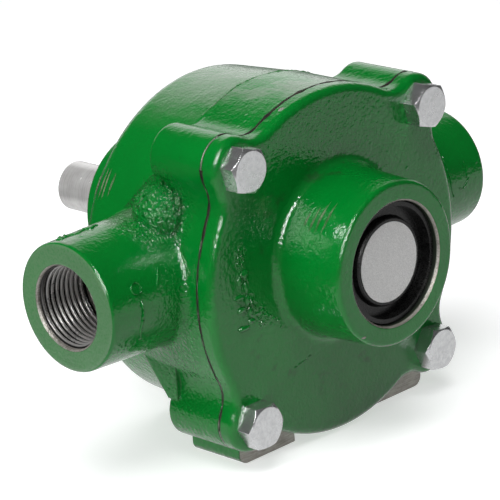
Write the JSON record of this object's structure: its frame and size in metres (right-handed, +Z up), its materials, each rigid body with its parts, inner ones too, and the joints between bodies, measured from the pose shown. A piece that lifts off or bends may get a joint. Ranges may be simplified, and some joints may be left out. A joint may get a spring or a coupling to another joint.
{
  "type": "roller pump",
  "caption": "Foot-mounted roller pump: round green cast casing with threaded ports left and right, bolted front cover with a hub cap, and a plain drive shaft at the rear.",
  "frame": {"origin": "middle of the two tapped foot holes, on the plane of the feet", "axes": "+X through the ports to the right as seen from the front cover, +Y to the rear along the drive shaft, +Z up"},
  "size_m": [0.1626, 0.1395, 0.1067],
  "materials": {
    "casting_paint": "glossy green enamel over rough cast iron, bare machined foot faces",
    "zinc": "bright zinc plated",
    "shaft_steel": "ground steel",
    "bearing_steel": "polished bearing steel",
    "cage_steel": "pressed steel",
    "rotor_iron": "machined cast iron",
    "key_steel": "bright key steel",
    "roller_plastic": "turned engineering plastic",
    "black_rubber": "moulded rubber",
    "cap_black": "semi-gloss black",
    "label_film": "plain pale printed film",
    "seal_case": "pressed steel"
  },
  "bodies": {
    "housing": {"pump_body": "casting_paint", "front_cover": "casting_paint", "cover_bolts": "zinc", "cover_o_ring": "black_rubber", "bearing_cap": "cap_black", "cap_label": "label_film", "front_bearing_outer_race": "bearing_steel", "front_bearing_seals": "black_rubber", "front_seal_case": "seal_case", "front_seal_lip": "black_rubber", "front_seal_spring": "key_steel", "rear_bearing_outer_race": "bearing_steel", "rear_bearing_seals": "black_rubber", "rear_seal_case": "seal_case", "rear_seal_lip": "black_rubber", "rear_seal_spring": "key_steel"},
    "rotor_assembly": {"drive_shaft": "shaft_steel", "rotor": "rotor_iron", "rotor_key": "key_steel", "rotor_set_screws": "key_steel", "front_bearing_inner_race": "bearing_steel", "rear_bearing_inner_race": "bearing_steel"},
    "front_ball_set": {"front_bearing_balls": "bearing_steel", "front_bearing_cage": "cage_steel"},
    "rear_ball_set": {"rear_bearing_balls": "bearing_steel", "rear_bearing_cage": "cage_steel"},
    "roller_1_body": {"roller_1": "roller_plastic"},
    "roller_2_body": {"roller_2": "roller_plastic"},
    "roller_3_body": {"roller_3": "roller_plastic"},
    "roller_4_body": {"roller_4": "roller_plastic"},
    "roller_5_body": {"roller_5": "roller_plastic"},
    "roller_6_body": {"roller_6": "roller_plastic"}
  },
  "joints": [
    {"name": "shaft_turn", "type": "hinge", "parent": "housing", "child": "rotor_assembly", "pos_m": [0, 0.0148, 0.05715], "axis": [0, 1, 0], "continuous": true},
    {"name": "front_cage_turn", "type": "hinge", "parent": "housing", "child": "front_ball_set", "pos_m": [0, -0.02687, 0.05715], "axis": [0, 1, 0], "continuous": true},
    {"name": "rear_cage_turn", "type": "hinge", "parent": "housing", "child": "rear_ball_set", "pos_m": [0, 0.06307, 0.05715], "axis": [0, 1, 0], "continuous": true},
    {"name": "roller_1_slide", "type": "slide", "parent": "rotor_assembly", "child": "roller_1_body", "axis": [1, 0, 0], "range_m": [0, 0.0021]},
    {"name": "roller_2_slide", "type": "slide", "parent": "rotor_assembly", "child": "roller_2_body", "axis": [0.5, 0, 0.866], "range_m": [0, 0.0021]},
    {"name": "roller_3_slide", "type": "slide", "parent": "rotor_assembly", "child": "roller_3_body", "axis": [-0.5, 0, 0.866], "range_m": [0, 0.0021]},
    {"name": "roller_4_slide", "type": "slide", "parent": "rotor_assembly", "child": "roller_4_body", "axis": [-1, 0, 0], "range_m": [0, 0.0021]},
    {"name": "roller_5_slide", "type": "slide", "parent": "rotor_assembly", "child": "roller_5_body", "axis": [-0.5, 0, -0.866], "range_m": [0, 0.0021]},
    {"name": "roller_6_slide", "type": "slide", "parent": "rotor_assembly", "child": "roller_6_body", "axis": [0.5, 0, -0.866], "range_m": [0, 0.0021]}
  ],
  "couplings": [
    {"joint": "front_cage_turn", "follows": "shaft_turn", "ratio": 0.4063},
    {"joint": "rear_cage_turn", "follows": "shaft_turn", "ratio": 0.4063}
  ]
}
